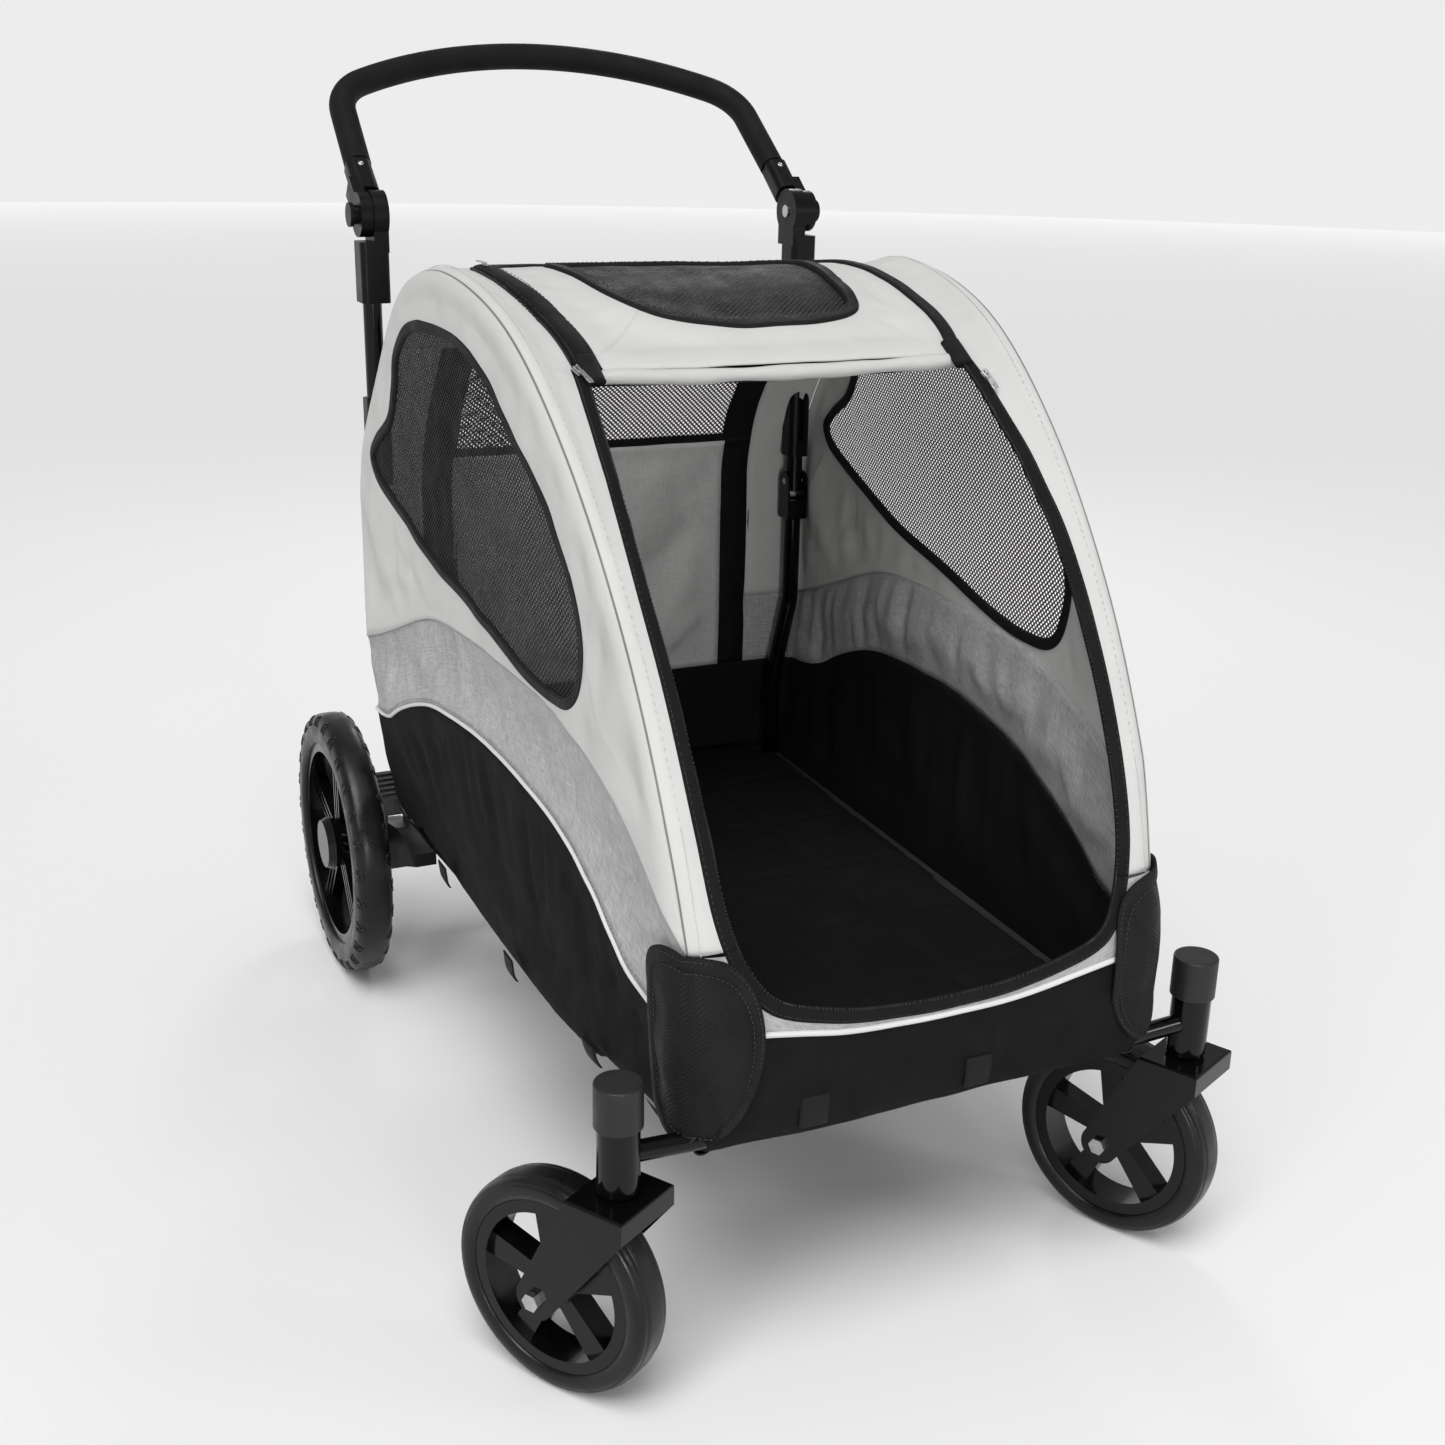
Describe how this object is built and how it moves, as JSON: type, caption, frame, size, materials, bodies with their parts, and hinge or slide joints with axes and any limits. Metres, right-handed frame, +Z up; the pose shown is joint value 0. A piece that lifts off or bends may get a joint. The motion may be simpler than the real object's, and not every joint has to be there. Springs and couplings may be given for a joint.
{
  "type": "pet stroller",
  "caption": "Four-wheel pet stroller with a fabric cabin, mesh side windows, an open zipped front doorway, swivelling front casters and a tilting push handle.",
  "frame": {"origin": "point on the floor under the middle of the cabin, half way between the two sides", "axes": "+Z up; -Y is the front, where the doorway and the casters are; +X is the stroller's right-hand side seen from the front"},
  "size_m": [0.7105, 1.1053, 1.0968],
  "materials": {
    "frame_paint": "gloss",
    "black_plastic": "satin",
    "gloss_rim": "gloss",
    "tyre": "matte",
    "foam": "matte",
    "steel": "polished",
    "light_fabric": "matte",
    "grey_fabric": "matte",
    "black_fabric": "matte",
    "black_mesh": "matte",
    "piping": "matte",
    "zipper": "matte",
    "board": "matte"
  },
  "bodies": {
    "chassis": {"axle_carrier_left": "black_plastic", "axle_carrier_right": "black_plastic", "canopy_shell": "light_fabric", "caster_caps": "black_plastic", "caster_heads": "frame_paint", "corner_patches": "black_fabric", "cross_tubes": "frame_paint", "door_roll": "black_mesh", "floor_board": "board", "floor_mat": "black_fabric", "fold_brackets": "frame_paint", "fold_pins": "steel", "front_cross_tube": "frame_paint", "front_zipper": "zipper", "head_bearings": "steel", "lower_uprights": "frame_paint", "piping": "piping", "rear_axle_rod": "steel", "rear_axle_tube": "frame_paint", "rear_door": "grey_fabric", "roof_panel": "light_fabric", "side_band_left": "grey_fabric", "side_band_right": "grey_fabric", "side_rail_left": "frame_paint", "side_rail_right": "frame_paint", "skylight_mesh": "black_mesh", "tub": "black_fabric", "webbing_tabs": "black_fabric", "window_mesh_left": "black_mesh", "window_mesh_right": "black_mesh"},
    "uprights": {"upright_left": "frame_paint", "upright_right": "frame_paint", "handle_sockets": "black_plastic", "handle_pins": "steel"},
    "handle": {"handle_tube": "frame_paint", "foam_grip": "foam", "handle_arm_left": "black_plastic", "handle_arm_right": "black_plastic"},
    "latch_left": {"fold_latch_left": "black_plastic"},
    "button_left": {"push_button_left": "black_plastic"},
    "caster_left": {"fork_left": "frame_paint", "axle_bolt_left": "steel"},
    "front_wheel_left": {"front_rim_left": "gloss_rim", "front_tyre_left": "tyre"},
    "rear_wheel_left": {"rear_rim_left": "gloss_rim", "rear_tyre_left": "tyre", "hub_cap_left": "gloss_rim"},
    "brake_left": {"brake_pedal_left": "black_plastic"},
    "latch_right": {"fold_latch_right": "black_plastic"},
    "button_right": {"push_button_right": "black_plastic"},
    "caster_right": {"fork_right": "frame_paint", "axle_bolt_right": "steel"},
    "front_wheel_right": {"front_rim_right": "gloss_rim", "front_tyre_right": "tyre"},
    "rear_wheel_right": {"rear_rim_right": "gloss_rim", "rear_tyre_right": "tyre", "hub_cap_right": "gloss_rim"},
    "brake_right": {"brake_pedal_right": "black_plastic"}
  },
  "joints": [
    {"name": "frame_fold", "type": "hinge", "parent": "chassis", "child": "uprights", "pos_m": [0, 0.278, 0.6], "axis": [1, 0, 0], "range_deg": [0, 90], "deforming": ["canopy_shell", "window_mesh_left", "window_mesh_right", "roof_panel", "skylight_mesh", "rear_door", "front_zipper", "door_roll"]},
    {"name": "handle_tilt", "type": "hinge", "parent": "uprights", "child": "handle", "pos_m": [0, 0.285, 0.918], "axis": [1, 0, 0], "range_deg": [-60, 60]},
    {"name": "latch_slide_left", "type": "slide", "parent": "uprights", "child": "latch_left", "axis": [0, 0, 1], "range_m": [0, 0.02], "stiffness_N_per_m": 150, "springref_m": -0.01},
    {"name": "button_press_left", "type": "slide", "parent": "handle", "child": "button_left", "axis": [1, 0, 0], "range_m": [0, 0.004], "stiffness_N_per_m": 900, "springref_m": -0.002},
    {"name": "caster_swivel_left", "type": "hinge", "parent": "chassis", "child": "caster_left", "pos_m": [-0.285, -0.5, 0.24], "axis": [0, 0, 1], "continuous": true},
    {"name": "front_wheel_spin_left", "type": "hinge", "parent": "caster_left", "child": "front_wheel_left", "pos_m": [-0.31617, -0.44873, 0.1], "axis": [0.8545, 0.5195, 0], "continuous": true},
    {"name": "rear_wheel_spin_left", "type": "hinge", "parent": "chassis", "child": "rear_wheel_left", "pos_m": [-0.291, 0.4, 0.161], "axis": [1, 0, 0], "continuous": true},
    {"name": "brake_press_left", "type": "hinge", "parent": "chassis", "child": "brake_left", "pos_m": [-0.238, 0.352, 0.188], "axis": [1, 0, 0], "range_deg": [-20, 0]},
    {"name": "latch_slide_right", "type": "slide", "parent": "uprights", "child": "latch_right", "axis": [0, 0, 1], "range_m": [0, 0.02], "stiffness_N_per_m": 150, "springref_m": -0.01},
    {"name": "button_press_right", "type": "slide", "parent": "handle", "child": "button_right", "axis": [-1, 0, 0], "range_m": [0, 0.004], "stiffness_N_per_m": 900, "springref_m": -0.002},
    {"name": "caster_swivel_right", "type": "hinge", "parent": "chassis", "child": "caster_right", "pos_m": [0.285, -0.5, 0.24], "axis": [0, 0, 1], "continuous": true},
    {"name": "front_wheel_spin_right", "type": "hinge", "parent": "caster_right", "child": "front_wheel_right", "pos_m": [0.26002, -0.44545, 0.1], "axis": [0.9092, 0.4163, 0], "continuous": true},
    {"name": "rear_wheel_spin_right", "type": "hinge", "parent": "chassis", "child": "rear_wheel_right", "pos_m": [0.291, 0.4, 0.161], "axis": [1, 0, 0], "continuous": true},
    {"name": "brake_press_right", "type": "hinge", "parent": "chassis", "child": "brake_right", "pos_m": [0.238, 0.352, 0.188], "axis": [1, 0, 0], "range_deg": [-20, 0]}
  ]
}
